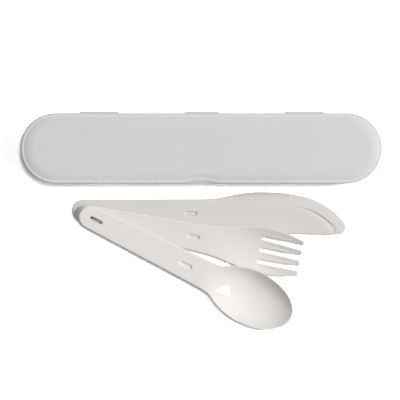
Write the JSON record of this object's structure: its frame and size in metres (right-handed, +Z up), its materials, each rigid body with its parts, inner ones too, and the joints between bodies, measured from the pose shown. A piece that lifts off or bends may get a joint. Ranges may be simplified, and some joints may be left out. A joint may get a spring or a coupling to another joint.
{
  "type": "plastic cutlery pack",
  "caption": "Reusable plastic cutlery pack: pill-shaped living-hinge case, closed, with its knife, fork and spoon fanned out beside it.",
  "frame": {"origin": "centre of the case's flat underside, on the surface that the pack lies on", "axes": "+X along the case, towards the knife's tip; +Y across it, towards the hinge; +Z up, out of the lid's flat top"},
  "size_m": [0.23, 0.1393, 0.022],
  "materials": {
    "case_plastic": "satin",
    "web_plastic": "satin",
    "knife_plastic": "satin",
    "fork_plastic": "satin",
    "spoon_plastic": "satin"
  },
  "bodies": {
    "base": {"case_base": "case_plastic", "hinge_web_left": "web_plastic", "hinge_web_middle": "web_plastic", "hinge_web_right": "web_plastic", "knife": "knife_plastic", "fork": "fork_plastic", "spoon": "spoon_plastic"},
    "lid": {"case_lid": "case_plastic"}
  },
  "joints": [
    {"name": "lid_hinge", "type": "hinge", "parent": "base", "child": "lid", "pos_m": [0, 0.02375, 0.01215], "axis": [-1, 0, 0], "range_deg": [0, 180], "deforming": ["hinge_web_left", "hinge_web_middle", "hinge_web_right"]}
  ]
}
